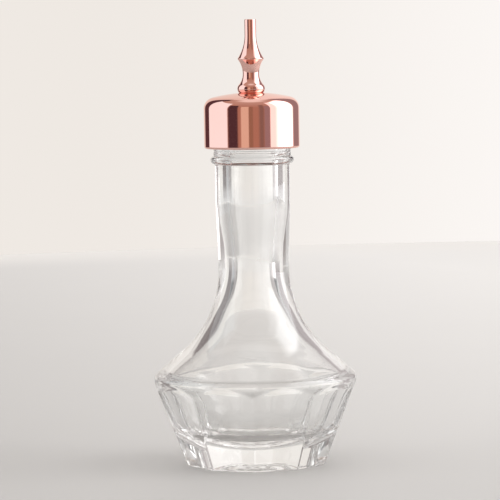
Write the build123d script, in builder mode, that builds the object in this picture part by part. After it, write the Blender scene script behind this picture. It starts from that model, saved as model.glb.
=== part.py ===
from build123d import *
import os
from math import acos, asin, cos, degrees, radians, sin, sqrt, tan

# A bitters bottle: a ten-sided clear glass bottle, and a dasher top that is pushed into its neck.
# Sizes are in millimetres. The origin is the centre of the foot, +Z is up, and a corner of the foot faces -Y.

overrun = 1.0  # how far a cutting shape runs past what it cuts

# Glass bottle, foot and belly
facet_count = 10
foot_corner_radius = 23.3  # corners of the ten-sided foot, before they are rounded
facet_lean = 20.6  # degrees that each flat leans out from upright
facet_scoop_height = 23.3  # where each flat starts to curve out to the belly
facet_scoop_radius = 19.0
facet_scoop_turn = 20.0  # degrees that the flats curve through
facet_edge_radius = 0.8
foot_edge_radius = 1.3
belly_radius = 33.15
belly_height = 29.24  # where the side of the belly meets the shoulder, before that edge is rounded
belly_blend_radius = 4.0

# Glass bottle, shoulder and neck
shoulder_lean = 49.4  # degrees that the straight part of the shoulder leans out from upright
shoulder_sweep_radius = 35.0
neck_waist_radius = 11.6
neck_top_radius = 12.2
neck_flare_share = 0.75  # how much of the neck the flare takes, from the waist towards the bead

# Glass bottle, neck finish
lip_height = 117.0
finish_radius = 12.6
finish_length = 16.2  # from the lip down to the bead
bead_width = 2.6
bead_swell = 0.95  # how far the bead stands out from the finish
lip_outer_round = 1.2
lip_inner_round = 0.8

# Glass bottle, inside
bore_radius = 7.8
inner_foot_inset = 5.9  # from a flat of the foot to the line of the inner wall
inner_wall_lean = 24.0  # degrees that the inner wall leans out from upright
floor_rim_height = 11.8
floor_hollow = 3.2  # how far the middle of the floor lies below its rim
floor_corner_radius = 8.0
inner_belly_radius = 4.0

# Glass bottle, underside
rest_ring_width = 5.7  # from a flat of the foot to the edge of the punt
punt_depth = 4.2

# Stopper, moulded in silicone
stopper_flange_thickness = 1.4
stopper_flange_inset = 0.3  # from the edge of the glass lip
stopper_flange_round = 0.5
stopper_length = 9.8  # the plug, below the lip
stopper_gap = 0.05  # between the ribs and the bore
stopper_rib_count = 3
stopper_rib_length = 1.9
stopper_groove_depth = 0.8
stopper_rib_round = 0.5

# Backing disc, between the stopper and the crown
disc_thickness = 1.85
disc_gap = 0.05  # between the disc and the crown
disc_side_clearance = 3.75  # between the disc and the skirt
disc_edge_round = 0.3

# Cap shell, drawn from sheet
cap_sheet = 0.8
cap_side_gap = 2.15  # between the finish and the skirt
cap_depth = 17.9  # from the crown to the lower edge of the skirt
crown_dome_radius = 55.0
crown_land_margin = 0.7  # how far the flat land in the crown runs past the spout's seat
cap_corner_radius = 3.8
cap_hem_radius = 0.75

# Spout, turned and bored
spout_seat_radius = 3.9
spout_bulb_swell = 0.6  # how far the bulb stands out from the seat
spout_bulb_length = 2.8
spout_waist_radius = 2.65
spout_waist_length = 3.4  # from the bulb up to the waist
spout_bell_length = 4.7  # from the waist up to the collar
spout_collar_radius = 4.25
spout_collar_width = 0.4
spout_flare_length = 7.6  # from the collar up to the tip
spout_tip_radius = 1.88
spout_tip_length = 5.0
spout_tip_edge = 0.25
spout_bore_radius = 1.5
spout_orifice_radius = 0.9
spout_orifice_length = 8.0
shank_radius = 2.5
shank_clearance = 0.05  # between the shank and each hole that it passes through
shank_end_chamfer = 0.4
shank_end_length = 0.3  # how far the shank stands out below the nut

# Washer and nut, which clamp the stopper to the cap
washer_clearance = 1.6  # between the washer and the bore of the bottle
washer_thickness = 0.8
washer_edge_round = 0.15
nut_across_flats = 8.0
nut_thickness = 2.2
nut_corner_chamfer = 0.35

# Opposite flats are the two sides of a slab. Each flat leans out, curves out further under the belly,
# and then runs on straight past the lip. Slabs turned round the axis leave the ten-sided shape where they
# overlap.
half_facet = radians(180 / facet_count)
lean_turn = radians(facet_lean)
foot_flat_radius = foot_corner_radius * cos(half_facet)
scoop_flat_radius = foot_flat_radius + facet_scoop_height * tan(lean_turn)
scoop_centre = (
    scoop_flat_radius + facet_scoop_radius * cos(lean_turn),
    facet_scoop_height - facet_scoop_radius * sin(lean_turn),
)
slab_height = lip_height + overrun
slab_reach = slab_height / cos(lean_turn + radians(facet_scoop_turn))

with BuildPart() as facet_slab:
    with BuildSketch(Plane.XZ):
        with BuildLine():
            Polyline((0, 0), (foot_flat_radius, 0), (scoop_flat_radius, facet_scoop_height))
            scoop = CenterArc(scoop_centre, facet_scoop_radius, 180 - facet_lean, -facet_scoop_turn)
            run_on = scoop % 1
            slab_top = scoop @ 1 + run_on * ((slab_height - (scoop @ 1).Y) / run_on.Y)
            Polyline(scoop @ 1, slab_top, (0, slab_top.Y), (0, 0))
        make_face()
        mirror(about=Plane.YZ)
    extrude(amount=slab_reach, both=True)

with BuildPart() as facet_body:
    add(facet_slab.part)
    for facet in range(1, facet_count // 2):
        add(facet_slab.part, rotation=(0, 0, facet * 360 / facet_count), mode=Mode.INTERSECT)
    fillet(facet_body.faces().sort_by(Axis.Z)[0].edges(), foot_edge_radius)
    tall_edges = facet_body.edges().filter_by(lambda edge: edge.bounding_box().size.Z > 2 * foot_edge_radius)
    fillet(tall_edges, facet_edge_radius)

# Above the flats the glass is round: an upright belly, a straight shoulder, and an arc that sweeps up to
# the neck.
shoulder_turn = radians(shoulder_lean)
shoulder_run = tan(shoulder_turn)
sweep_centre_radius = neck_waist_radius + shoulder_sweep_radius
sweep_low_radius = sweep_centre_radius - shoulder_sweep_radius * cos(shoulder_turn)
sweep_low_height = belly_height + (belly_radius - sweep_low_radius) / shoulder_run
neck_waist_height = sweep_low_height + shoulder_sweep_radius * sin(shoulder_turn)
sweep_centre = (sweep_centre_radius, neck_waist_height)

bead_high_height = lip_height - finish_length
bead_low_height = bead_high_height - bead_width
bead_middle = (finish_radius + bead_swell, bead_low_height + bead_width / 2)
flare_end_height = neck_waist_height + neck_flare_share * (bead_low_height - neck_waist_height)
flare_middle = ((neck_waist_radius + neck_top_radius) / 2, (neck_waist_height + flare_end_height) / 2)

with BuildPart() as bottle_outside:
    with BuildSketch(Plane.XZ) as round_body:
        with BuildLine():
            Polyline(
                (0, 0),
                (belly_radius, 0),
                (belly_radius, belly_height),
                (sweep_low_radius, sweep_low_height),
            )
            CenterArc(sweep_centre, shoulder_sweep_radius, 180 + shoulder_lean, -shoulder_lean)
            waist = (neck_waist_radius, neck_waist_height)
            low_flare = TangentArc(waist, flare_middle, tangent=(0, 1))
            high_flare = TangentArc(flare_middle, (neck_top_radius, flare_end_height), tangent=low_flare % 1)
            neck = Line(high_flare @ 1, (neck_top_radius, bead_low_height))
            bead = ThreePointArc(neck @ 1, bead_middle, (finish_radius, bead_high_height))
            Polyline(bead @ 1, (finish_radius, lip_height), (0, lip_height), (0, 0))
        make_face()
        belly_top = round_body.vertices().sort_by_distance((belly_radius, belly_height))[0]
        fillet(belly_top, belly_blend_radius)
        lip_edge = round_body.vertices().sort_by_distance((finish_radius, lip_height))[0]
        fillet(lip_edge, lip_outer_round)
    revolve(axis=Axis.Z)
    add(facet_body.part, mode=Mode.INTERSECT)

# Inside, the wall follows the bore and the shoulder, and then leans in to a dished floor with a round corner
inner_sweep_radius = sweep_centre_radius - bore_radius
inner_sweep_low = (
    sweep_centre_radius - inner_sweep_radius * cos(shoulder_turn),
    neck_waist_height - inner_sweep_radius * sin(shoulder_turn),
)
inner_wall_run = tan(radians(inner_wall_lean))
inner_foot_radius = foot_flat_radius - inner_foot_inset
inner_floor_radius = inner_foot_radius + floor_rim_height * inner_wall_run
inner_reach = inner_sweep_low[0] + inner_sweep_low[1] * shoulder_run - inner_foot_radius
inner_belly_height = inner_reach / (inner_wall_run + shoulder_run)
inner_belly = (inner_foot_radius + inner_belly_height * inner_wall_run, inner_belly_height)

with BuildPart() as cavity:
    with BuildSketch(Plane.XZ) as cavity_profile:
        with BuildLine():
            floor_middle = (0, floor_rim_height - floor_hollow)
            floor = TangentArc(floor_middle, (inner_floor_radius, floor_rim_height), tangent=(1, 0))
            Polyline(floor @ 1, inner_belly, inner_sweep_low)
            CenterArc(sweep_centre, inner_sweep_radius, 180 + shoulder_lean, -shoulder_lean)
            bore = Line((bore_radius, neck_waist_height), (bore_radius, lip_height - lip_inner_round))
            mouth = TangentArc(bore @ 1, (bore_radius + lip_inner_round, lip_height), tangent=(0, 1))
            above_lip = lip_height + overrun
            Polyline(mouth @ 1, (bore_radius + lip_inner_round, above_lip), (0, above_lip), floor_middle)
        make_face()
        floor_corner = cavity_profile.vertices().sort_by_distance((inner_floor_radius, floor_rim_height))[0]
        fillet(floor_corner, floor_corner_radius)
        belly_corner = cavity_profile.vertices().sort_by_distance(inner_belly)[0]
        fillet(belly_corner, inner_belly_radius)
    revolve(axis=Axis.Z)

punt_radius = foot_flat_radius - rest_ring_width

with BuildPart() as punt:
    with BuildSketch(Plane.XZ):
        with BuildLine():
            dome = TangentArc((0, punt_depth), (punt_radius, 0), tangent=(1, 0))
            Polyline(dome @ 1, (punt_radius, -overrun), (0, -overrun), (0, punt_depth))
        make_face()
    revolve(axis=Axis.Z)

with BuildPart() as glass_bottle:
    add(bottle_outside.part)
    add(cavity.part, mode=Mode.SUBTRACT)
    add(punt.part, mode=Mode.SUBTRACT)

glass_bottle.part.label = "glass_bottle"

# The dasher's pieces are stacked on the lip: stopper flange, disc, crown and spout. Washer and nut hang below.
disc_low_height = lip_height + stopper_flange_thickness
disc_high_height = disc_low_height + disc_thickness
crown_height = disc_high_height + disc_gap + cap_sheet
skirt_height = crown_height - cap_depth
stopper_low_height = lip_height - stopper_length
washer_low_height = stopper_low_height - washer_thickness
nut_low_height = washer_low_height - nut_thickness
shank_low_height = nut_low_height - shank_end_length
shank_hole_radius = shank_radius + shank_clearance

cap_radius = finish_radius + cap_side_gap + cap_sheet
cap_inner_radius = cap_radius - cap_sheet
crown_land_radius = spout_seat_radius + crown_land_margin
crown_rise = sqrt(crown_dome_radius**2 - crown_land_radius**2)
crown_centre = (0, crown_height - crown_rise)
crown_edge_rise = sqrt(crown_dome_radius**2 - cap_radius**2)
under_crown_edge_rise = sqrt((crown_dome_radius - cap_sheet) ** 2 - cap_inner_radius**2)


def crown_line(depth, reach):
    """Inside a BuildLine, draws the crown's flat land and dome at a depth below its face, and gives the dome."""
    dome_radius = crown_dome_radius - depth
    land_turn = degrees(acos((crown_rise - depth) / dome_radius))
    edge_turn = degrees(asin(reach / dome_radius))
    dome_arc = CenterArc(crown_centre, dome_radius, 90 - land_turn, land_turn - edge_turn)
    Line((0, crown_height - depth), dome_arc @ 0)
    return dome_arc


with BuildPart() as cap_shell:
    with BuildSketch(Plane.XZ) as cap_outside:
        with BuildLine():
            crown = crown_line(0, cap_radius)
            Polyline(crown @ 1, (cap_radius, skirt_height), (0, skirt_height), (0, crown_height))
        make_face()
        crown_edge = (cap_radius, crown_centre[1] + crown_edge_rise)
        fillet(cap_outside.vertices().sort_by_distance(crown_edge)[0], cap_corner_radius)
    revolve(axis=Axis.Z)
    with BuildSketch(Plane.XZ) as cap_inside:
        with BuildLine():
            under_crown = crown_line(cap_sheet, cap_inner_radius)
            below_skirt = skirt_height - overrun
            cap_top = (0, crown_height - cap_sheet)
            Polyline(under_crown @ 1, (cap_inner_radius, below_skirt), (0, below_skirt), cap_top)
        make_face()
        under_crown_edge = (cap_inner_radius, crown_centre[1] + under_crown_edge_rise)
        inner_corner = cap_inside.vertices().sort_by_distance(under_crown_edge)[0]
        fillet(inner_corner, cap_corner_radius - cap_sheet)
    revolve(axis=Axis.Z, mode=Mode.SUBTRACT)
    with BuildSketch(Plane.XZ):
        with Locations((cap_radius - cap_hem_radius, skirt_height + cap_hem_radius)):
            Circle(cap_hem_radius)
    revolve(axis=Axis.Z)
    with Locations((0, 0, crown_height)):
        Hole(shank_hole_radius, depth=cap_sheet + overrun)

cap_shell.part.label = "cap_shell"

with BuildPart() as backing_disc:
    with BuildSketch(Plane.XZ) as disc_profile:
        with BuildLine():
            disc_radius = cap_inner_radius - disc_side_clearance
            disc_top = crown_line(cap_sheet + disc_gap, disc_radius)
            disc_foot = (disc_radius, disc_low_height)
            Polyline(disc_top @ 1, disc_foot, (0, disc_low_height), (0, disc_high_height))
        make_face()
        fillet(disc_profile.vertices().group_by(Axis.X)[-1], disc_edge_round)
    revolve(axis=Axis.Z)
    with Locations((0, 0, disc_high_height)):
        Hole(shank_hole_radius, depth=disc_thickness + overrun)

backing_disc.part.label = "backing_disc"

# Each rib sits at the low end of its pitch, with a groove above it
stopper_radius = bore_radius - stopper_gap
stopper_core_radius = stopper_radius - stopper_groove_depth
rib_pitch = stopper_length / stopper_rib_count
rib_places = [(0, stopper_low_height + rib * rib_pitch) for rib in range(stopper_rib_count)]
from_low_left = (Align.MIN, Align.MIN)

with BuildPart() as stopper:
    with BuildSketch(Plane.XZ) as plug_profile:
        with Locations((0, stopper_low_height)):
            Rectangle(stopper_core_radius, stopper_length, align=from_low_left)
        with Locations(*rib_places):
            Rectangle(stopper_radius, stopper_rib_length, align=from_low_left)
        fillet(plug_profile.vertices().group_by(Axis.X)[-1], stopper_rib_round)
    revolve(axis=Axis.Z)
    with BuildSketch(Plane.XZ) as flange_profile:
        with Locations((0, lip_height)):
            flange_radius = finish_radius - stopper_flange_inset
            Rectangle(flange_radius, stopper_flange_thickness, align=from_low_left)
        fillet(flange_profile.vertices().group_by(Axis.X)[-1], stopper_flange_round)
    revolve(axis=Axis.Z)
    with Locations((0, 0, disc_low_height)):
        Hole(shank_hole_radius, depth=stopper_flange_thickness + stopper_length + overrun)

stopper.part.label = "stopper"

# The spout's outline: seat, bulb, waist, bell, collar, flare and tip, and the shank below the seat
bulb_high_height = crown_height + spout_bulb_length
waist_height = bulb_high_height + spout_waist_length
collar_low_height = waist_height + spout_bell_length
collar_high_height = collar_low_height + spout_collar_width
flare_high_height = collar_high_height + spout_flare_length
tip_height = flare_high_height + spout_tip_length

with BuildPart() as spout:
    with BuildSketch(Plane.XZ) as spout_profile:
        with BuildLine():
            bulb_foot = (spout_seat_radius, crown_height)
            bulb_top = (spout_seat_radius, bulb_high_height)
            bulb_side = (spout_seat_radius + spout_bulb_swell, crown_height + spout_bulb_length / 2)
            spout_waist = (spout_waist_radius, waist_height)
            tip_foot = (spout_tip_radius, flare_high_height)
            ThreePointArc(bulb_foot, bulb_side, bulb_top)
            TangentArc(spout_waist, bulb_top, tangent=(0, -1))
            TangentArc(spout_waist, (spout_collar_radius, collar_low_height), tangent=(0, 1))
            Line((spout_collar_radius, collar_low_height), (spout_collar_radius, collar_high_height))
            TangentArc(tip_foot, (spout_collar_radius, collar_high_height), tangent=(0, -1))
            Polyline(
                tip_foot,
                (spout_tip_radius, tip_height),
                (0, tip_height),
                (0, shank_low_height),
                (shank_radius, shank_low_height),
                (shank_radius, crown_height),
                bulb_foot,
            )
        make_face()
        tip_edge = spout_profile.vertices().sort_by_distance((spout_tip_radius, tip_height))[0]
        chamfer(tip_edge, spout_tip_edge)
        shank_end = spout_profile.vertices().sort_by_distance((shank_radius, shank_low_height))[0]
        chamfer(shank_end, shank_end_chamfer)
    revolve(axis=Axis.Z)
    with Locations((0, 0, tip_height)):
        Hole(spout_orifice_radius, depth=spout_orifice_length + overrun)
    with BuildSketch(Plane.XY.offset(tip_height - spout_orifice_length)):
        Circle(spout_bore_radius)
    extrude(amount=shank_low_height - overrun - tip_height + spout_orifice_length, mode=Mode.SUBTRACT)

spout.part.label = "spout"

with BuildPart() as clamp_washer:
    with BuildSketch(Plane.XY.offset(washer_low_height)):
        Circle(bore_radius - washer_clearance)
        Circle(shank_hole_radius, mode=Mode.SUBTRACT)
    extrude(amount=washer_thickness)
    fillet(clamp_washer.edges(), washer_edge_round)

clamp_washer.part.label = "clamp_washer"

nut_corner_radius = nut_across_flats / 2 / cos(radians(30))

with BuildPart() as clamp_nut:
    with BuildSketch(Plane.XY.offset(nut_low_height)):
        RegularPolygon(nut_across_flats / 2, 6, major_radius=False)
    extrude(amount=nut_thickness)
    with BuildSketch(Plane.XZ) as turned_corners:
        with Locations((0, nut_low_height)):
            Rectangle(nut_corner_radius, nut_thickness, align=from_low_left)
        chamfer(turned_corners.vertices().group_by(Axis.X)[-1], nut_corner_chamfer)
    revolve(axis=Axis.Z, mode=Mode.INTERSECT)
    with Locations((0, 0, washer_low_height)):
        Hole(shank_hole_radius, depth=nut_thickness + overrun)

clamp_nut.part.label = "clamp_nut"

os.makedirs("parts", exist_ok=True)
for piece in (glass_bottle, cap_shell, spout, backing_disc, stopper, clamp_washer, clamp_nut):
    export_step(piece.part, f"parts/{piece.part.label}.step")
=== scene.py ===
from math import atan2, cos, degrees, pi, radians, sin, sqrt, tan

import bpy
import numpy as np
from mathutils import Matrix, Vector, noise


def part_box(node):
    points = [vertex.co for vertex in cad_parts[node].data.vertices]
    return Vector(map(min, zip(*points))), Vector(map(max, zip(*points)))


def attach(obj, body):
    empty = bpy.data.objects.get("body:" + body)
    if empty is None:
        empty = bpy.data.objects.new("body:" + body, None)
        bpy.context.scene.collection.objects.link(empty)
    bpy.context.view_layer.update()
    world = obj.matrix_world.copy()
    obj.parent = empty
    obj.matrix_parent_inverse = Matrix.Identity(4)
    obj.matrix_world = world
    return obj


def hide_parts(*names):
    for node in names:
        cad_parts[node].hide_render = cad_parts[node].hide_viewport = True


# A bitters bottle in ten-sided pressed glass, with a copper dasher top pushed into its neck.
# Outlines are (radius, height) in millimetres above the foot; meshes are in metres.

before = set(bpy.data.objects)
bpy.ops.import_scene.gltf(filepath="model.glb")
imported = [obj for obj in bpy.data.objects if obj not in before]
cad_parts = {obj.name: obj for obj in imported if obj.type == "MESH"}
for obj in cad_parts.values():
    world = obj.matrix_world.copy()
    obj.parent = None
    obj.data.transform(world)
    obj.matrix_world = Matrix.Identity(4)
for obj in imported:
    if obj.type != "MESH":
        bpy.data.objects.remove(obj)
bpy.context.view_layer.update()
MM = 0.001
FULL_TURN = 2 * pi

# Glass, outside
facet_count = 10
foot_corner_radius = 23.3
facet_lean = 20.6
facet_scoop_height = 23.3
facet_scoop_radius = 19.0
facet_scoop_steepest = 0.94  # sine of the lean at which the scoop stops, out past the belly
belly_radius = 33.15
belly_height = 29.24
belly_blend_radius = 2.2
shoulder_lean = 49.4
shoulder_sweep_radius = 35.0
neck_waist_radius = 11.6
neck_top_radius = 12.2
neck_flare_share = 0.75
finish_radius = 12.6
finish_length = 16.2
bead_width = 2.6
bead_swell = 0.95
bead_fillet = 0.35
lip_outer_round = 1.2
lip_inner_round = 0.8
foot_edge_reach = 0.9  # of the foot edge's rounding, along the flats and along the base
pressed_edge = 0.34  # how far from an edge the pressed glass starts to turn
lip_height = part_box("glass_bottle")[1].z / MM

# Glass, inside and underneath
bore_radius = 7.8
wall_foot_radius = 16.26
wall_lean = 24.0
floor_height = 8.6
floor_bowl_radius = 74.0
floor_corner_radius = 8.0
inner_belly_radius = 2.2
bore_taper = (  # height, and what is added there to the radius of the plain bore and sweep
    (47, 0), (50.5, -0.08), (54, -0.50), (57, -0.98), (60.5, -1.32),
    (65, -1.46), (69.5, -1.44), (72.5, -1.28), (76, -0.90), (79, -0.54),
    (81.5, -0.28), (83.8, -0.11), (86, -0.03), (88.5, 0), (96, 0),
)
rest_ring_width = 5.7
punt_depth = 4.2
ring_stipple = 0.595
punt_ripple = 0.24
punt_ripple_size = 2.2
pebble_size = 0.9

# Waves that pressing leaves in the glass
outer_wave_depth = 0.05
outer_wave_size = 9.0
inner_wave_depth = 0.22
inner_wave_loss = 0.18  # how much less deep the inner waves are in the neck
inner_wave_size = 11.0

# Dasher top
cap_sheet = 0.8
cap_hem_radius = 0.75
cap_corner_radius = 3.8
crown_dome_radius = 55.0
crown_land_radius = 4.6
spout_seat_radius = 3.9
spout_bulb_swell = 0.6
spout_bulb_length = 2.8
spout_waist_radius = 2.65
spout_waist_length = 3.4
spout_bell_length = 4.7
spout_collar_radius = 4.25
spout_collar_width = 0.4
spout_flare_length = 7.6
spout_tip_radius = 1.88
spout_bore_radius = 1.5
spout_orifice_radius = 0.9
spout_orifice_length = 8.0
spout_seat_chamfer = 0.1
spout_collar_edge = 0.06
spout_tip_round = 0.25
spout_orifice_round = 0.2
spout_orifice_cone = 0.5
spout_inlet_chamfer = 0.2
shank_chamfer = 0.4
shank_radius = 2.5
shank_clearance = 0.05
stopper_rib_count = 3
stopper_rib_length = 1.9
stopper_groove_depth = 0.8
stopper_play = 0.05
nut_across_flats = 8.0
nut_corner_round = 0.12
nut_chamfer_rise = 0.42
nut_chamfer_reach = 0.75
nut_chamfer_blend = 0.08


# Outlines

def arc(centre, radius, start, end, steps):
    """Points of an arc from one bearing to another, in degrees."""
    bearings = np.radians(np.linspace(start, end, steps + 1))
    return [(centre[0] + radius * cos(b), centre[1] + radius * sin(b)) for b in bearings]


def leaving_arc(start, heading, end, steps):
    """Points of the arc that leaves start along heading and ends at end."""
    normal = (-heading[1], heading[0])
    way = (end[0] - start[0], end[1] - start[1])
    radius = (way[0] ** 2 + way[1] ** 2) / (2 * (way[0] * normal[0] + way[1] * normal[1]))
    centre = (start[0] + normal[0] * radius, start[1] + normal[1] * radius)
    first = degrees(atan2(start[1] - centre[1], start[0] - centre[0]))
    last = degrees(atan2(end[1] - centre[1], end[0] - centre[0]))
    turn = (last - first) % 360 if radius > 0 else -((first - last) % 360)
    return arc(centre, abs(radius), first, first + turn, steps)


def rounded(before, corner, after, radius, steps=6):
    """Points of the rounding of a corner between two straight runs."""
    inward = Vector(before) - Vector(corner)
    outward = Vector(after) - Vector(corner)
    inward.normalize()
    outward.normalize()
    half_angle = inward.angle(outward) / 2
    centre = Vector(corner) + (inward + outward).normalized() * (radius / sin(half_angle))
    reach = radius / tan(half_angle)
    first = Vector(corner) + inward * reach - centre
    last = Vector(corner) + outward * reach - centre
    start = atan2(first.y, first.x)
    turn = (atan2(last.y, last.x) - start + pi) % FULL_TURN - pi
    return arc(centre, radius, degrees(start), degrees(start + turn), steps)


def closed_outline(corners):
    """A closed outline of straight runs, from corners given as (radius, height, rounding)."""
    points = []
    for i, (radius, height, rounding) in enumerate(corners):
        before = corners[i - 1][:2]
        after = corners[(i + 1) % len(corners)][:2]
        if rounding:
            points += rounded(before, (radius, height), after, rounding)
        else:
            points.append((radius, height))
    return points


# Meshes

def new_object(name, data):
    """An object for the data, in the scene."""
    thing = bpy.data.objects.new(name, data)
    bpy.context.scene.collection.objects.link(thing)
    return thing


def piece_from_rows(name, radii, heights, angles, open_ends):
    """A closed skin from rows of points round the axis.

    Open ends are closed with a point on the axis; otherwise the last row joins the first.
    """
    rows, columns = radii.shape
    places = np.stack([radii * np.cos(angles), radii * np.sin(angles), heights], axis=2)
    points = (places.reshape(-1, 3) * MM).tolist()
    faces = []
    for row in range(rows - 1 if open_ends else rows):
        here, there = row * columns, (row + 1) % rows * columns
        for column in range(columns):
            beside = (column + 1) % columns
            faces.append((here + column, here + beside, there + beside, there + column))
    if open_ends:
        first_pole, last_pole = len(points), len(points) + 1
        points += [(0, 0, heights[0].mean() * MM), (0, 0, heights[-1].mean() * MM)]
        last_row = (rows - 1) * columns
        for column in range(columns):
            beside = (column + 1) % columns
            faces.append((first_pole, beside, column))
            faces.append((last_pole, last_row + column, last_row + beside))
    mesh = bpy.data.meshes.new(name)
    mesh.from_pydata(points, [], faces)
    mesh.polygons.foreach_set("use_smooth", [True] * len(mesh.polygons))
    return new_object(name, mesh)


def turned_piece(name, outline, segments=160):
    """A closed outline, going up its outer side and down its bore, spun round the axis."""
    angles = np.linspace(0, FULL_TURN, segments, endpoint=False)
    radii = np.array([[radius] * segments for radius, _ in outline])
    heights = np.array([[height] * segments for _, height in outline])
    piece = piece_from_rows(name, radii, heights, angles, open_ends=False)
    piece.modifiers.new("even_shading", "WEIGHTED_NORMAL")
    return piece


def gathered(steps, pull):
    """Places from -1 to 1, drawn together towards both ends."""
    places = np.linspace(-1, 1, steps, endpoint=False)
    return places + pull / pi * np.sin(places * pi)


def soft_least(first, second, width):
    """The smaller of two values, with the change from one to the other rounded off."""
    closeness = np.maximum(width - np.abs(first - second), 0) / width
    return np.minimum(first, second) - closeness**2 * width / 4


# Glass bottle

foot_flat_radius = foot_corner_radius * cos(pi / facet_count)
flat_run = tan(radians(facet_lean))
sweep_centre_radius = neck_waist_radius + shoulder_sweep_radius
sweep_low_radius = sweep_centre_radius - shoulder_sweep_radius * cos(radians(shoulder_lean))
sweep_fall = (belly_radius - sweep_low_radius) / tan(radians(shoulder_lean))
sweep_low_height = belly_height + sweep_fall
neck_waist_height = sweep_low_height + shoulder_sweep_radius * sin(radians(shoulder_lean))
sweep_centre = (sweep_centre_radius, neck_waist_height)
bead_high_height = lip_height - finish_length
bead_low_height = bead_high_height - bead_width
flare_end_height = neck_waist_height + neck_flare_share * (bead_low_height - neck_waist_height)
punt_radius = foot_flat_radius - rest_ring_width


def round_outline():
    """The round outside of the glass, from the belly up to the lip."""
    belly_top = (belly_radius, belly_height)
    sweep_low = (sweep_low_radius, sweep_low_height)
    flare_middle = (
        (neck_waist_radius + neck_top_radius) / 2,
        (neck_waist_height + flare_end_height) / 2,
    )
    points = [(belly_radius, 0)]
    points += rounded((belly_radius, 0), belly_top, sweep_low, belly_blend_radius, 12)
    points += [sweep_low]
    points += arc(sweep_centre, shoulder_sweep_radius, 180 + shoulder_lean, 180, 28)
    low_flare = leaving_arc((neck_waist_radius, neck_waist_height), (0, 1), flare_middle, 6)
    high_flare = leaving_arc((neck_top_radius, flare_end_height), (0, -1), flare_middle, 6)
    points += low_flare[1:] + high_flare[::-1][1:]
    bead_rise = bead_width / 2
    bead_reach = (bead_rise**2 + bead_swell**2) / (2 * bead_swell)
    bead_turn = degrees(atan2(bead_rise, bead_reach - bead_swell))
    bead_centre = (finish_radius + bead_swell - bead_reach, bead_low_height + bead_rise)
    points += rounded(
        (neck_top_radius, bead_low_height - bead_width), (neck_top_radius, bead_low_height),
        (finish_radius, bead_low_height), bead_fillet
    )
    points += arc(bead_centre, bead_reach, -bead_turn, bead_turn, 12)
    lip_corner = (finish_radius, lip_height)
    points += rounded((finish_radius, 0), lip_corner, (0, lip_height), lip_outer_round, 6)
    return points


def inner_outline():
    """The inside of the glass, from the lip down to the middle of the floor."""
    inner_radius = sweep_centre_radius - bore_radius
    shoulder_turn = radians(shoulder_lean)
    shoulder_run = tan(shoulder_turn)
    sweep_low = (
        sweep_centre_radius - inner_radius * cos(shoulder_turn),
        neck_waist_height - inner_radius * sin(shoulder_turn),
    )
    wall_turn = radians(wall_lean)
    wall_run = tan(wall_turn)
    sweep_past_wall = sweep_low[0] + sweep_low[1] * shoulder_run - wall_foot_radius
    belly_height_inside = sweep_past_wall / (wall_run + shoulder_run)
    belly = (wall_foot_radius + belly_height_inside * wall_run, belly_height_inside)
    floor_centre = floor_height + floor_bowl_radius
    inset_foot = wall_foot_radius - floor_corner_radius / cos(wall_turn)
    a, b = 1 + wall_run**2, inset_foot * wall_run - floor_centre
    c = inset_foot**2 + floor_centre**2 - (floor_bowl_radius - floor_corner_radius) ** 2
    corner_height = (-b - sqrt(b**2 - a * c)) / a
    corner_centre = (inset_foot + corner_height * wall_run, corner_height)
    floor_bearing = degrees(atan2(corner_height - floor_centre, corner_centre[0]))
    mouth = (bore_radius + lip_inner_round, lip_height - lip_inner_round)
    points = arc(mouth, lip_inner_round, 90, 180, 5)
    bore_rows_high = lip_height - 3
    bore_heights = np.linspace(bore_rows_high, neck_waist_height, 24)
    points += [(bore_radius, height) for height in bore_heights]
    points += arc(sweep_centre, inner_radius, 180, 180 + shoulder_lean, 26)[1:]
    points += rounded(sweep_low, belly, (wall_foot_radius, 0), inner_belly_radius, 10)
    corner = arc(corner_centre, floor_corner_radius, -wall_lean, floor_bearing, 24)
    wall_top = points[-1]
    for share in np.linspace(0, 1, 11)[1:-1]:
        points.append(tuple(Vector(wall_top).lerp(Vector(corner[0]), share)))
    points += corner
    just_short_of_axis = -89
    points += arc((0, floor_centre), floor_bowl_radius, floor_bearing, just_short_of_axis, 20)[1:]
    taper_heights, taper = zip(*bore_taper)
    return [
        (radius + smooth_between(taper_heights, taper, height), height)
        for radius, height in points
    ]


def smooth_between(places, values, place):
    """The value at a place on the smooth curve through the given values."""
    slopes = np.gradient(values, places)
    slopes[0] = slopes[-1] = 0
    place = min(max(place, places[0]), places[-1])
    i = min(int(np.searchsorted(places, place, side="right")) - 1, len(places) - 2)
    width = places[i + 1] - places[i]
    t = (place - places[i]) / width
    start = values[i] * (1 + 2 * t) * (1 - t) ** 2 + slopes[i] * width * t * (1 - t) ** 2
    return start + values[i + 1] * t**2 * (3 - 2 * t) + slopes[i + 1] * width * t**2 * (t - 1)


def facet_angles(steps=32):
    """Bearings round the bottle, drawn together towards the corners between the flats."""
    places = gathered(steps, 0.8)
    half_facet = pi / facet_count
    middles = -pi / 2 + half_facet + np.arange(facet_count) * 2 * half_facet
    return (middles[:, None] + places[None, :] * half_facet).ravel()


def flat_radius(height, angles):
    """How far out the ten flats lie at a height, with the corners between them eased."""
    half_facet = pi / facet_count
    apothem = foot_flat_radius + height * flat_run
    if height > facet_scoop_height:
        lean = radians(facet_lean)
        low_radius = foot_flat_radius + facet_scoop_height * flat_run
        scoop_sine = sin(lean) + (height - facet_scoop_height) / facet_scoop_radius
        scoop = np.arcsin(min(scoop_sine, facet_scoop_steepest))
        apothem = low_radius + facet_scoop_radius * (cos(lean) - np.cos(scoop))
    off_middle = np.abs((angles + pi / 2) % (2 * half_facet) - half_facet)
    nearest = apothem / np.cos(off_middle)
    beside = apothem / np.cos(2 * half_facet - off_middle)
    return soft_least(nearest, beside, pressed_edge)


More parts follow.
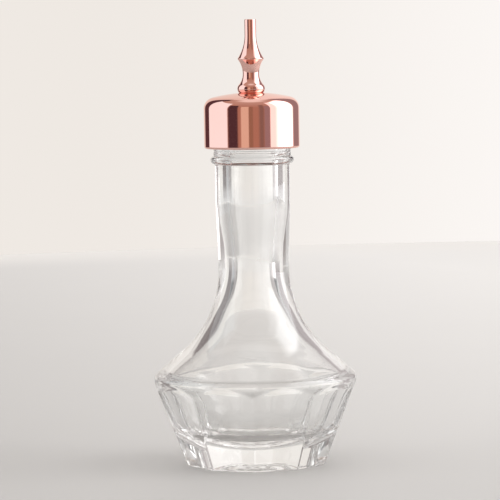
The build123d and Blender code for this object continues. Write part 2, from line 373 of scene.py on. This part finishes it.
def ripple(radii, heights, angles, scale, seed):
    """Slow random waves over the glass, from -1 to 1."""
    places = np.stack([radii * np.cos(angles), radii * np.sin(angles), heights], axis=-1) / scale
    start = Vector((seed, seed, seed))
    waves = [noise.noise(Vector(place) + start) for place in places.reshape(-1, 3)]
    return np.array(waves).reshape(radii.shape)


def glass_bottle():
    """One closed skin, from the punt's middle up the outside and down the inside to the floor."""
    angles = facet_angles()
    level = np.ones_like(angles)
    outline = round_outline()
    outline_heights = [height for _, height in outline]
    outline_radii = [radius for radius, _ in outline]
    radii, heights = [], []

    def add_row(radius, height):
        radii.append(radius * level)
        heights.append(height * level)

    # the punt, a shallow dome
    dome_radius = (punt_radius**2 + punt_depth**2) / (2 * punt_depth)
    for radius in np.linspace(0.03, 0.99, 34) * punt_radius:
        add_row(radius, punt_depth - dome_radius + sqrt(dome_radius**2 - radius**2))
    punt_rows = len(radii)

    # the rest ring, and the rounding from it up to the flats
    punt_edge = 0.3
    foot_edge = flat_radius(0, angles)
    ring_start, ring_end = punt_radius + punt_edge, foot_edge - foot_edge_reach
    for share in np.linspace(0, 1, 16):
        add_row(ring_start + (ring_end - ring_start) * share, 0)
    ring_rows = len(radii)
    wall_start_height = foot_edge_reach * cos(radians(facet_lean))
    wall_start = flat_radius(wall_start_height, angles)
    for share in np.linspace(0, 1, 7)[1:]:
        edge_pull, wall_pull = 2 * share * (1 - share), share**2
        radius = ring_end * (1 - share) ** 2 + foot_edge * edge_pull + wall_start * wall_pull
        add_row(radius, wall_start_height * wall_pull)

    # the flats, the scoop with its rows close together, the round parts and the finish
    flats_span, scoop_span, scoop_row, round_low = (1.5, 22.5), (23, 29.4), 0.16, 29.45
    wall_heights = [*np.linspace(*flats_span, 15), *np.arange(*scoop_span, scoop_row)]
    wall_heights += [height for height in outline_heights if height > round_low]
    wall_heights += [*np.linspace(bead_high_height, lip_height - lip_outer_round, 8)[1:-1]]
    for height in sorted(set(round(height, 4) for height in wall_heights)):
        round_radius = np.interp(height, outline_heights, outline_radii)
        add_row(soft_least(round_radius, flat_radius(height, angles), pressed_edge), height)
    outside_rows = len(radii)

    for radius, height in inner_outline():
        add_row(radius, height)

    # the surface: a rippled punt, a pebbled ring, and slow waves that fade out at the edges
    radii, heights = np.array(radii), np.array(heights)
    punt, ring = slice(0, punt_rows), slice(punt_rows, ring_rows)
    outside, inside = slice(0, outside_rows), slice(outside_rows, None)
    wave = ripple(radii[punt], heights[punt], angles, punt_ripple_size, seed=5.3)
    fade = np.sin(np.linspace(0.3, pi, punt_rows))[:, None]
    heights[punt] -= punt_ripple * (1 + wave) / 2 * fade
    pebbles = ripple(radii[ring], heights[ring], angles, pebble_size, seed=1.9)
    fade = np.sin(np.linspace(0, pi, ring_rows - punt_rows))[:, None]
    heights[ring] += ring_stipple * np.clip(pebbles + 0.1, 0, 1) * fade
    wave = ripple(radii[outside], heights[outside], angles, outer_wave_size, seed=3.7)
    fade = np.interp(heights[outside], [0, 2, 96, 98], [0, 1, 1, 0])
    radii[outside] -= outer_wave_depth * (1 + wave) / 2 * fade
    wave = ripple(radii[inside], heights[inside], angles, inner_wave_size, seed=8.1)
    fade = np.interp(heights[inside], [8.5, 12, 98, 104], [0, 1, 1, 0])
    in_neck = np.clip(heights[inside] / 20 - 2, 0, 1)
    radii[inside] += (inner_wave_depth - inner_wave_loss * in_neck) * wave * fade
    return piece_from_rows("clear_glass_bottle", radii, heights, angles, open_ends=True)


# Dasher top

crown_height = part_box("cap_shell")[1].z / MM
skirt_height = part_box("cap_shell")[0].z / MM
cap_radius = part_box("cap_shell")[1].x / MM
tip_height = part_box("spout")[1].z / MM
shank_low_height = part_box("spout")[0].z / MM
shank_hole_radius = shank_radius + shank_clearance


def crown_dome(depth, reach, steps):
    """Points of the crown at a depth below its face, from its corner in to the flat land."""
    crown_rise = sqrt(crown_dome_radius**2 - crown_land_radius**2)
    centre = (0, crown_height - crown_rise)
    radius = crown_dome_radius - depth
    corner = cap_corner_radius - depth
    corner_radius = reach - corner
    corner_centre = (corner_radius, centre[1] + sqrt((radius - corner) ** 2 - corner_radius**2))
    edge_bearing = degrees(atan2(corner_centre[1] - centre[1], corner_radius))
    land_bearing = degrees(atan2(crown_rise - depth, sqrt(radius**2 - (crown_rise - depth) ** 2)))
    rounding = arc(corner_centre, corner, 0, edge_bearing, 12)
    return rounding + arc(centre, radius, edge_bearing, land_bearing, steps)[1:]


def cap_outline():
    """The drawn cap: skirt, corner, crown, hole for the shank, and the hem at the skirt's edge."""
    hole_edge = 0.1
    inner_radius = cap_radius - cap_sheet
    hem_centre = (cap_radius - cap_hem_radius, skirt_height + cap_hem_radius)
    hem_offset = inner_radius - hem_centre[0]
    hem_turn = degrees(atan2(sqrt(cap_hem_radius**2 - hem_offset**2), hem_offset))
    points = crown_dome(0, cap_radius, 24)
    points += [(shank_hole_radius + hole_edge, crown_height)]
    points += [(shank_hole_radius, crown_height - hole_edge)]
    points += [(shank_hole_radius, crown_height - cap_sheet)]
    points += crown_dome(cap_sheet, inner_radius, 12)[::-1]
    points += arc(hem_centre, cap_hem_radius, hem_turn, 360, 20)
    return points


def spout_outline():
    """The turned spout: bulb, waist, bell, collar, flare and tip, and the bore that ends narrow."""
    bulb_high = crown_height + spout_bulb_length
    waist = (spout_waist_radius, bulb_high + spout_waist_length)
    collar_low = waist[1] + spout_bell_length
    collar_high = collar_low + spout_collar_width
    tip_foot = (spout_tip_radius, collar_high + spout_flare_length)
    bulb_rise = spout_bulb_length / 2
    bulb_reach = (bulb_rise**2 + spout_bulb_swell**2) / (2 * spout_bulb_swell)
    bulb_turn = degrees(atan2(bulb_rise, bulb_reach - spout_bulb_swell))
    bulb_centre = (spout_seat_radius + spout_bulb_swell - bulb_reach, crown_height + bulb_rise)
    points = [(shank_radius, crown_height), (spout_seat_radius - spout_seat_chamfer, crown_height)]
    points += arc(bulb_centre, bulb_reach, -bulb_turn, bulb_turn, 14)
    points += leaving_arc(waist, (0, -1), (spout_seat_radius, bulb_high), 12)[::-1][1:]
    collar_edge, edge_rise = spout_collar_radius - spout_collar_edge, 0.08
    points += leaving_arc(waist, (0, 1), (collar_edge, collar_low), 14)[1:]
    points += [(spout_collar_radius, collar_low + edge_rise)]
    points += [(spout_collar_radius, collar_high - edge_rise)]
    points += leaving_arc(tip_foot, (0, -1), (collar_edge, collar_high), 18)[::-1]
    tip, orifice = (spout_tip_radius, tip_height), (spout_orifice_radius, tip_height)
    points += rounded(tip_foot, tip, (0, tip_height), spout_tip_round)
    points += rounded(tip, orifice, (spout_orifice_radius, 0), spout_orifice_round)
    outlet_low = tip_height - spout_orifice_length
    points += [(spout_orifice_radius, outlet_low)]
    points += [(spout_bore_radius, outlet_low - spout_orifice_cone)]
    points += [(spout_bore_radius, shank_low_height + spout_inlet_chamfer)]
    points += [(spout_bore_radius + spout_inlet_chamfer, shank_low_height)]
    points += [(shank_radius - shank_chamfer, shank_low_height)]
    points += [(shank_radius, shank_low_height + shank_chamfer)]
    return points


def stopper_outline():
    """The moulded stopper: flange on the lip, and a plug with rounded ribs."""
    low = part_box("stopper")[0].z / MM
    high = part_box("stopper")[1].z / MM
    flange_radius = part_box("stopper")[1].x / MM
    rib_radius = bore_radius - stopper_play
    core_radius = rib_radius - stopper_groove_depth
    pitch = (lip_height - low) / stopper_rib_count
    rib_round, groove_round, rib_draft = 0.45, 0.25, 0.1
    hole_round, seat_round, flange_round = 0.15, 0.2, 0.4
    corners = [(shank_hole_radius, low, hole_round)]
    for rib in range(stopper_rib_count):
        foot = low + rib * pitch
        corners += [(rib_radius, foot, rib_round)]
        corners += [(rib_radius, foot + stopper_rib_length, rib_round)]
        corners += [(core_radius, foot + stopper_rib_length + rib_draft, groove_round)]
        if rib < stopper_rib_count - 1:
            corners += [(core_radius, foot + pitch - rib_draft, groove_round)]
    corners += [(core_radius, lip_height, seat_round), (flange_radius, lip_height, flange_round)]
    corners += [(flange_radius, high, flange_round), (shank_hole_radius, high, hole_round)]
    return closed_outline(corners)


def washer_outline():
    """A plain washer with eased edges."""
    low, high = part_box("clamp_washer")[0].z / MM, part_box("clamp_washer")[1].z / MM
    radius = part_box("clamp_washer")[1].x / MM
    hole_round, rim_round = 0.1, 0.15
    return closed_outline([
        (shank_hole_radius, low, hole_round),
        (radius, low, rim_round),
        (radius, high, rim_round),
        (shank_hole_radius, high, hole_round),
    ])


def disc_outline():
    """The disc that backs the crown, with its top following the crown."""
    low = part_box("backing_disc")[0].z / MM
    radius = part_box("backing_disc")[1].x / MM
    gap = cap_sheet + 0.05
    hole_round, rim_round = 0.1, 0.25
    crown_rise = sqrt(crown_dome_radius**2 - crown_land_radius**2)
    centre_height = crown_height - crown_rise
    dome = crown_dome_radius - gap
    edge_turn = degrees(atan2(sqrt(dome**2 - radius**2), radius))
    land_turn = degrees(atan2(crown_rise - gap, sqrt(dome**2 - (crown_rise - gap) ** 2)))
    top = arc((0, centre_height), dome, edge_turn, land_turn, 12)
    corners = [(shank_hole_radius, low, hole_round), (radius, low, rim_round)]
    corners += [(*top[0], rim_round)]
    corners += [(*place, 0) for place in top[1:]]
    corners += [(shank_hole_radius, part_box("backing_disc")[1].z / MM, hole_round)]
    return closed_outline(corners)


def hexagon_nut():
    """A hexagon nut with its corners turned down at both faces."""
    low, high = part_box("clamp_nut")[0].z / MM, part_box("clamp_nut")[1].z / MM
    places = gathered(24, 0.85)
    angles = (np.arange(6)[:, None] * pi / 3 + places[None, :] * pi / 6).ravel()
    level = np.ones_like(angles)
    half_width = nut_across_flats / 2
    off_flat = np.abs((angles + pi / 6) % (pi / 3) - pi / 6)
    hexagon = soft_least(
        half_width / np.cos(off_flat), half_width / np.cos(pi / 3 - off_flat), nut_corner_round
    )
    face_radius = half_width - nut_chamfer_blend
    radii, heights = [], []
    for face, rise, first, last in ((low, nut_chamfer_rise, 0, 1), (high, -nut_chamfer_rise, 1, 0)):
        for share in np.linspace(first, last, 6):
            chamfer = face_radius + share * nut_chamfer_reach
            radii.append(soft_least(hexagon, chamfer, nut_chamfer_blend))
            heights.append(face + rise * share * level)
    thread_reach, thread_rise = 0.35, 0.3
    for radius, height in (
        (shank_hole_radius + thread_reach, high), (shank_hole_radius, high - thread_rise),
        (shank_hole_radius, low + thread_rise), (shank_hole_radius + thread_reach, low),
    ):
        radii.append(radius * level)
        heights.append(height * level)
    radii, heights = np.array(radii), np.array(heights)
    piece = piece_from_rows("hexagon_nut", radii, heights, angles, open_ends=False)
    piece.modifiers.new("even_shading", "WEIGHTED_NORMAL")
    return piece


# Finishes

def add_node(tree, kind, inputs=None, **settings):
    """A node with its settings made, and its inputs linked or set to plain values."""
    node = tree.nodes.new(kind)
    for name, value in settings.items():
        setattr(node, name, value)
    for label, value in (inputs or {}).items():
        if isinstance(value, bpy.types.NodeSocket):
            tree.links.new(value, node.inputs[label])
        else:
            node.inputs[label].default_value = value
    return node


def ramp(tree, value, start, end, ease="LINEAR"):
    """A number from 0 to 1 as the value goes from start to end."""
    limits = {"Value": value, "From Min": start, "From Max": end}
    node = add_node(tree, "ShaderNodeMapRange", limits, interpolation_type=ease)
    return node.outputs["Result"]


def spread(tree, mask, low, high):
    """A number from low to high as the mask goes from a quarter to three quarters."""
    limits = {"Value": mask, "From Min": 0.25, "From Max": 0.75, "To Min": low, "To Max": high}
    return add_node(tree, "ShaderNodeMapRange", limits).outputs["Result"]


def blend_colours(tree, mask, first, second, blend="MIX"):
    """One colour where the mask is low, another where it is high, each linked or plain values."""
    first, second = ((*tone, 1) if isinstance(tone, tuple) else tone for tone in (first, second))
    sockets = {"Factor": mask, 6: first, 7: second}
    node = add_node(tree, "ShaderNodeMix", sockets, data_type="RGBA", blend_type=blend)
    return node.outputs[2]


def new_finish(name, inputs=None):
    """A material with one Principled shader, and its node tree."""
    material = bpy.data.materials.new(name)
    material.use_nodes = True
    tree = material.node_tree
    tree.nodes.clear()
    shader = add_node(tree, "ShaderNodeBsdfPrincipled", inputs)
    output = add_node(tree, "ShaderNodeOutputMaterial", {"Surface": shader.outputs[0]})
    return material, tree, shader, output


def surface_group(name, inputs):
    """A node group that reads object coordinates and the named numbers, and gives a mask."""
    group = bpy.data.node_groups.new(name, "ShaderNodeTree")
    for label, value in inputs.items():
        socket = group.interface.new_socket(label, in_out="INPUT", socket_type="NodeSocketFloat")
        socket.default_value = value
    group.interface.new_socket("Mask", in_out="OUTPUT", socket_type="NodeSocketFloat")
    given = group.nodes.new("NodeGroupInput").outputs
    place = group.nodes.new("ShaderNodeTexCoord").outputs["Object"]
    return group, given, place


def cloudy_group():
    """Soft cloudy variation and fine grain over a surface, as a mask."""
    values = {"Cloud scale": 40, "Grain scale": 900, "Grain share": 0.3}
    group, given, place = surface_group("cloudy_surface", values)
    cloud = {"Vector": place, "Scale": given["Cloud scale"], "Detail": 3}
    grain = {"Vector": place, "Scale": given["Grain scale"], "Detail": 2}
    mix = add_node(group, "ShaderNodeMix", {
        "Factor": given["Grain share"],
        2: add_node(group, "ShaderNodeTexNoise", cloud).outputs["Fac"],
        3: add_node(group, "ShaderNodeTexNoise", grain).outputs["Fac"],
    })
    add_node(group, "NodeGroupOutput", {"Mask": mix.outputs[0]})
    return group


def lathe_lines_group():
    """Fine rings left by turning and polishing, round the axis, as a mask."""
    group, given, place = surface_group("lathe_lines", {"Line scale": 1})
    along = add_node(group, "ShaderNodeSeparateXYZ", {0: place}).outputs
    flat = add_node(group, "ShaderNodeCombineXYZ", {"X": along["X"], "Y": along["Y"]})
    radius = add_node(group, "ShaderNodeVectorMath", {0: flat.outputs[0]}, operation="LENGTH")
    rings = add_node(
        group, "ShaderNodeCombineXYZ", {"X": radius.outputs["Value"], "Z": along["Z"]}
    )
    scaled = add_node(
        group, "ShaderNodeVectorMath", {0: rings.outputs[0], "Scale": given["Line scale"]},
        operation="SCALE"
    )
    pattern = {"Vector": scaled.outputs[0], "Scale": 3000, "Detail": 2}
    lines = add_node(group, "ShaderNodeTexNoise", pattern)
    add_node(group, "NodeGroupOutput", {"Mask": lines.outputs["Fac"]})
    return group


def put_group(tree, group, values):
    """The mask of a group placed in a material with its own values."""
    return add_node(tree, "ShaderNodeGroup", values, node_tree=group).outputs["Mask"]


def raise_surface(tree, shader, mask, depth, strength):
    """Feeds a mask to the shader as a bump of the given depth in millimetres."""
    relief = {"Strength": strength, "Distance": depth * MM, "Height": mask}
    bump = add_node(tree, "ShaderNodeBump", relief)
    tree.links.new(bump.outputs["Normal"], shader.inputs["Normal"])


cloudy = cloudy_group()
lathe_lines = lathe_lines_group()


def clear_glass():
    """Fire-polished pressed glass. Light from the lamps passes through it to what it shades."""
    material, tree, shader, output = new_finish("clear_pressed_glass", {
        "Base Color": (0.995, 1.0, 0.998, 1),
        "Roughness": 0.0,
        "IOR": 1.51,
        "Transmission Weight": 1,
    })
    mask = put_group(tree, cloudy, {"Cloud scale": 160, "Grain scale": 420, "Grain share": 0.25})
    raise_surface(tree, shader, mask, depth=0.05, strength=0.35)
    path = tree.nodes.new("ShaderNodeLightPath")
    see_through = add_node(tree, "ShaderNodeBsdfTransparent", {"Color": (0.88, 0.88, 0.88, 1)})
    mix = add_node(tree, "ShaderNodeMixShader", {
        0: path.outputs["Is Shadow Ray"],
        1: shader.outputs[0],
        2: see_through.outputs[0],
    })
    tree.links.new(mix.outputs[0], output.inputs["Surface"])
    return material


def patterned_finish(name, pattern, colours, roughness, depth, strength, inputs=None, relief=None):
    """A finish whose colour and roughness follow a pattern. Its relief may follow another one."""
    material, tree, shader, _ = new_finish(name, inputs)
    mask = put_group(tree, *pattern)
    colour = blend_colours(tree, spread(tree, mask, 0, 1), *colours)
    tree.links.new(colour, shader.inputs["Base Color"])
    tree.links.new(spread(tree, mask, *roughness), shader.inputs["Roughness"])
    if relief:
        mask = put_group(tree, *relief)
    raise_surface(tree, shader, mask, depth, strength)
    return material


def copper_plate():
    """Rose copper plate, polished, with faint polishing rings and soft cloudiness."""
    return patterned_finish(
        "polished_copper_plate",
        pattern=(cloudy, {"Cloud scale": 90, "Grain scale": 1600, "Grain share": 0.35}),
        colours=((0.93, 0.565, 0.495), (0.95, 0.59, 0.525)),
        roughness=(0.035, 0.075),
        depth=0.002,
        strength=0.25,
        inputs={"Metallic": 1, "Specular Tint": (1.0, 0.9, 0.86, 1)},
        relief=(lathe_lines, {"Line scale": 1}),
    )


def white_silicone():
    """Translucent white silicone, satin from its mould."""
    return patterned_finish(
        "white_silicone",
        pattern=(cloudy, {"Cloud scale": 120, "Grain scale": 2400, "Grain share": 0.5}),
        colours=((0.80, 0.80, 0.77), (0.86, 0.86, 0.83)),
        roughness=(0.38, 0.55),
        depth=0.02,
        strength=0.3,
        inputs={
            "Subsurface Weight": 0.4,
            "Subsurface Radius": (1.0, 0.9, 0.8),
            "Subsurface Scale": 0.0015,
        },
    )


def white_plastic():
    """Natural white polypropylene."""
    return patterned_finish(
        "white_plastic",
        pattern=(cloudy, {"Cloud scale": 150, "Grain scale": 2000, "Grain share": 0.5}),
        colours=((0.82, 0.82, 0.80), (0.87, 0.87, 0.85)),
        roughness=(0.4, 0.5),
        depth=0.01,
        strength=0.3,
    )


def turned_steel():
    """Stainless steel with fine tool rings."""
    return patterned_finish(
        "turned_steel",
        pattern=(lathe_lines, {"Line scale": 0.6}),
        colours=((0.58, 0.58, 0.585), (0.66, 0.66, 0.66)),
        roughness=(0.22, 0.34),
        depth=0.004,
        strength=0.4,
        inputs={"Metallic": 1},
    )


# Studio

def table_top():
    """A pale table that melts into the wall at its edge. Its colour carries painted light, lighter
    at the back and the right, and painted shade, darker towards the right lamp.
    """
    radius, centre, corners = 1.022, Vector((0.17, 0, 0)), 96
    mesh = bpy.data.meshes.new("table_top")
    turns = np.linspace(0, FULL_TURN, corners, endpoint=False)
    rim = [(centre.x + radius * cos(turn), centre.y + radius * sin(turn), 0) for turn in turns]
    mesh.from_pydata(rim, [], [tuple(range(corners))])
    table = new_object("table_top", mesh)

    # tones of painted light: the table is painted darker at the front left and lighter at the back
    # right, as the light falls
    near_shaded_tone, far_lit_tone = (0.50, 0.484, 0.469), (0.83, 0.806, 0.785)
    # the second tone is painted shade that darkens the table towards the right lamp
    speck_tone, lamp_painted_shade_tone = (0.97, 0.97, 0.97), (0.35, 0.35, 0.35)
    wall_tone = (0.832, 0.803, 0.773)
    plain = (1, 1, 1)
    melt_width = 0.125
    material, tree, shader, _ = new_finish("pale_table", {"Roughness": 0.6})
    place = tree.nodes.new("ShaderNodeTexCoord").outputs["Object"]

    def measured(operation, other):
        """The table's places measured along a heading, or from a point."""
        sockets = {0: place, 1: other}
        return add_node(tree, "ShaderNodeVectorMath", sockets, operation=operation).outputs["Value"]

    # painted light: a ramp from the front left to the back right that lightens the table's colour
    painted_light_ramp = ramp(tree, measured("DOT_PRODUCT", (1.15, 0.52, 0)), -0.17, 0.52)
    # painted shade: a ramp towards the right lamp that darkens the table's colour there to hold
    # back the lamp's light
    lamp_shade_mask = ramp(tree, measured("DOT_PRODUCT", (1, -0.36, 0)), 0.04, 0.80)
    edge = ramp(tree, measured("DISTANCE", centre), radius - melt_width, radius, "SMOOTHSTEP")
    grain = put_group(tree, cloudy, {"Cloud scale": 14, "Grain scale": 500, "Grain share": 0.4})
    shade = blend_colours(tree, painted_light_ramp, near_shaded_tone, far_lit_tone)
    speck = blend_colours(tree, grain, speck_tone, plain)
    # painted shade towards the right lamp, multiplied into the colour below
    painted_lamp_shade = blend_colours(tree, lamp_shade_mask, plain, lamp_painted_shade_tone)
    shade = blend_colours(tree, 1.0, shade, speck, "MULTIPLY")
    shade = blend_colours(tree, edge, shade, wall_tone)
    shade = blend_colours(tree, 1.0, shade, painted_lamp_shade, "MULTIPLY")
    tree.links.new(shade, shader.inputs["Base Color"])
    mesh.materials.append(material)


def studio_world():
    """The room round the bottle: a pale wall, a softbox at each side, dark cards and a dim room.

    Bearings are degrees to the right of the wall's middle, and rises degrees above the level.
    The camera sees only the wall, surfaces are lit evenly, and metal mirrors the whole room.
    Through the glass the room looks nearer to grey and has darker cards at the sides, which
    draw the streaks in the glass.
    """
    world = bpy.data.worlds.new("studio")
    bpy.context.scene.world = world
    world.use_nodes = True
    tree = world.node_tree
    tree.nodes.clear()

    def number(operation, first, second=0.0):
        sockets = {0: first, 1: second}
        return add_node(tree, "ShaderNodeMath", sockets, operation=operation).outputs[0]

    way = tree.nodes.new("ShaderNodeTexCoord").outputs["Generated"]
    axes = add_node(tree, "ShaderNodeSeparateXYZ", {0: way}).outputs
    sideways = axes["X"]
    bearing = number("MULTIPLY", number("ARCTAN2", sideways, axes["Y"]), 180 / pi)
    rise = number("MULTIPLY", number("ARCSINE", axes["Z"]), 180 / pi)

    def step(value, start, end):
        return ramp(tree, value, start, end, "SMOOTHSTEP")

    def band(value, low, high, soft):
        """One between low and high, falling to nothing over soft on each side."""
        past_low = step(value, low - soft, low + soft)
        return number("MULTIPLY", past_low, step(value, high + soft, high - soft))

    def mixed(mask, first, second):
        return blend_colours(tree, mask, first, second)

    def hung(room, panels):
        """The room with soft-edged panels hung in it, one over the other."""
        for start, end, soft, lowest, highest, fade, colour in panels:
            across = band(bearing, start, end, soft)
            if end > 180:
                beyond = band(bearing, start - 360, end - 360, soft)
                across = number("MAXIMUM", across, beyond)
            panel = number("MULTIPLY", across, band(rise, lowest, highest, fade))
            room = mixed(panel, room, colour)
        return room

    wall_span, wall_soft = (-33, 33), 3
    wall_left, wall_right = (0.863, 0.815, 0.768), (0.982, 0.947, 0.922)
    room_low, room_high, ceiling = (0.44, 0.24, 0.175), (0.55, 0.40, 0.34), (0.95, 0.90, 0.86)
    furniture = (
        # from, to, softness, lowest, highest, softness, colour
        (-60, -30, 2.0, -20, 60, 0.5, (0.10, 0.05, 0.06)),
        (22, 63, 2.0, -20, 60, 0.5, (0.35, 0.28, 0.30)),
        (-121, -57, 1.5, -20, 50, 0.5, (1.11, 1.21, 1.26)),
        (63, 133, 2.0, -20, 58, 6.0, (1.4, 1.3, 1.3)),
        (63, 113, 8.0, -20, 58, 6.0, (2.6, 2.6, 2.6)),
        (63, 100, 4.0, -20, 58, 6.0, (3.2, 3.2, 3.3)),
        (64, 108, 10.0, 33, 55, 9.0, (3.8, 3.8, 3.9)),
        (-148, -123, 2.5, -20, 35, 0.5, (0.085, 0.042, 0.05)),
        (-175, -156, 1.5, -20, 25, 0.5, (0.78, 0.60, 0.47)),
        (175, 185, 1.5, -20, 25, 0.5, (0.33, 0.19, 0.13)),
        (148, 160, 4.0, -20, 40, 0.5, (0.26, 0.165, 0.14)),
        (133, 147, 1.5, -20, 30, 0.5, (0.35, 0.25, 0.26)),
    )
    wall = mixed(step(sideways, -0.09, 0.09), wall_left, wall_right)
    room = mixed(step(rise, 10, 70), room_low, room_high)
    studio = hung(mixed(band(bearing, *wall_span, wall_soft), room, wall), furniture)
    studio = mixed(step(rise, 66, 82), studio, ceiling)

    softening, greying, warm_tint = 0.2, 0.45, (1.035, 0.99, 0.94)
    left_tone, haze_left, haze_right = (0.50, 0.49, 0.49), (0.78, 0.76, 0.745), (0.89, 0.87, 0.855)
    glass_cards = (
        # in the order of the furniture
        (-80, -57, 3.0, 9, 42, 5.0, (0.20, 0.20, 0.20)),
        (49, 110, 4.0, 8, 29, 5.0, (0.60, 0.60, 0.59)),
        (56, 76, 3.0, 8, 35, 2.5, (0.20, 0.20, 0.20)),
    )
    softened = mixed(softening, studio, wall)
    grey = add_node(tree, "ShaderNodeRGBToBW", {0: softened}).outputs[0]
    warm_grey = add_node(
        tree, "ShaderNodeVectorMath", {0: warm_tint, "Scale": grey}, operation="SCALE"
    )
    through_glass = mixed(greying, softened, warm_grey.outputs[0])
    through_glass = mixed(band(bearing, -80, -57, 3.0), through_glass, left_tone)
    haze = mixed(step(sideways, -0.4, 0.5), haze_left, haze_right)
    through_glass = mixed(step(rise, -7, -1), haze, through_glass)
    through_glass = hung(through_glass, glass_cards)

    path = tree.nodes.new("ShaderNodeLightPath").outputs
    seen_plainly = path["Is Camera Ray"]
    studio = mixed(path["Is Transmission Ray"], studio, through_glass)
    picture = mixed(seen_plainly, studio, wall)
    mirrored = number("MAXIMUM", path["Is Glossy Ray"], path["Is Transmission Ray"])
    even_light = {"Color": (1, 0.99, 0.98, 1), "Strength": 0.8}
    mix = add_node(tree, "ShaderNodeMixShader", {
        0: number("MAXIMUM", seen_plainly, mirrored),
        1: add_node(tree, "ShaderNodeBackground", even_light).outputs[0],
        2: add_node(tree, "ShaderNodeBackground", {"Color": picture}).outputs[0],
    })
    add_node(tree, "ShaderNodeOutputWorld", {"Surface": mix.outputs[0]})


def softbox(name, place, size, power):
    """A lamp that lights the table and the bottle from one side, unseen by metal and glass."""
    light = bpy.data.lights.new(name, "AREA")
    light.shape = "RECTANGLE"
    light.size, light.size_y = size
    light.energy = power
    lamp = new_object(name, light)
    lamp.location = place
    target = Vector((0, 0, 0.05))
    lamp.rotation_euler = (target - Vector(place)).to_track_quat("-Z", "Y").to_euler()
    lamp.visible_camera = False
    lamp.visible_glossy = False
    lamp.visible_transmission = False


def photograph_camera():
    """The camera, level with the spout's tip and looking a little down, as in the photograph."""
    distance, height, bearing = 1.041, 0.145, radians(1.75)
    aim_height, aim_offset, roll = 0.06994, -0.0012, radians(-0.9)
    data = bpy.data.cameras.new("photograph_camera")
    data.lens = 230.5
    data.sensor_width = 36
    camera = new_object("photograph_camera", data)
    camera.location = (distance * sin(bearing), -distance * cos(bearing), height)
    aim = Vector((aim_offset, 0, aim_height)) - camera.location
    turn = aim.to_track_quat("-Z", "Y").to_matrix().to_4x4() @ Matrix.Rotation(roll, 4, "Z")
    camera.rotation_euler = turn.to_euler()
    bpy.context.scene.camera = camera


# Assembly

glass = clear_glass()
copper = copper_plate()
silicone = white_silicone()
plastic = white_plastic()
steel = turned_steel()
bottle = glass_bottle()
cap = turned_piece("copper_cap", cap_outline(), 256)
spout = turned_piece("copper_spout", spout_outline(), 128)
stopper = turned_piece("silicone_stopper", stopper_outline())
disc = turned_piece("plastic_disc", disc_outline())
washer = turned_piece("steel_washer", washer_outline())
nut = hexagon_nut()
pieces = (
    # piece, node it stands for, body it rides, slot, finish
    (bottle, "glass_bottle", "bottle", "clear_glass", glass),
    (cap, "cap_shell", "dasher", "copper_plate", copper),
    (spout, "spout", "dasher", "copper_plate", copper),
    (stopper, "stopper", "dasher", "stopper_silicone", silicone),
    (disc, "backing_disc", "dasher", "disc_plastic", plastic),
    (washer, "clamp_washer", "dasher", "fastener_steel", steel),
    (nut, "clamp_nut", "dasher", "fastener_steel", steel),
)
for piece, node, body, slot, finish in pieces:
    piece.data.materials.append(finish)
    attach(piece, body)
    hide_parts(node)
    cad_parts[node].data.materials.clear()
    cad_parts[node].data.materials.append(finish)

table_top()
studio_world()
softbox("right_softbox", place=(2.1, -0.25, 1.25), size=(1.9, 2.1), power=43.5)
softbox("left_softbox", place=(-2.2, -0.35, 1.25), size=(1.9, 2.1), power=3.6)
photograph_camera()
bpy.context.scene.view_settings.view_transform = "Standard"
light_paths = bpy.context.scene.cycles  # with fewer bounces thick glass turns black at its edges
light_paths.max_bounces = 24
light_paths.glossy_bounces = 20
light_paths.transmission_bounces = 24
